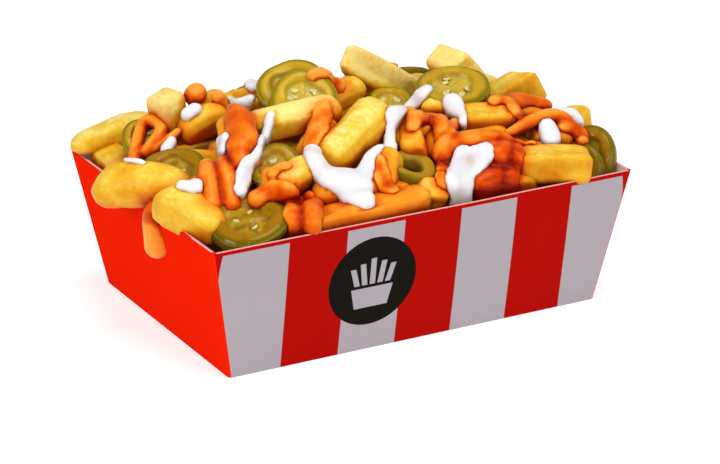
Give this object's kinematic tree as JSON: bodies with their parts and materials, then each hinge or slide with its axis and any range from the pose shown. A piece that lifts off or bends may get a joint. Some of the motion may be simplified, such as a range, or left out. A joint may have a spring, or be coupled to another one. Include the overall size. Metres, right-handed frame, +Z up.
{
  "type": "loaded fries in a folded paperboard tray",
  "caption": "Flared rectangular paperboard tray, striped on its long sides, heaped with thick straight-cut fries, orange sauce, white sauce and pickled jalapeno slices; rests on its flat base.",
  "frame": {"origin": "middle of the tray's flat underside", "axes": "+Z up, +X along the tray's long side, -Y towards the tray's front long side"},
  "size_m": [0.1872, 0.1157, 0.0857],
  "materials": {
    "paperboard": "satin",
    "fried_potato": "matte",
    "pickled_pepper": "gloss"
  },
  "bodies": {
    "root": {"tray": "paperboard", "fries_heap": "fried_potato", "jalapeno_01": "pickled_pepper", "jalapeno_02": "pickled_pepper", "jalapeno_03": "pickled_pepper", "jalapeno_04": "pickled_pepper", "jalapeno_05": "pickled_pepper", "jalapeno_06": "pickled_pepper", "jalapeno_07": "pickled_pepper", "jalapeno_08": "pickled_pepper", "jalapeno_09": "pickled_pepper", "jalapeno_10": "pickled_pepper", "jalapeno_11": "pickled_pepper", "jalapeno_12": "pickled_pepper", "jalapeno_13": "pickled_pepper"}
  },
  "joints": []
}
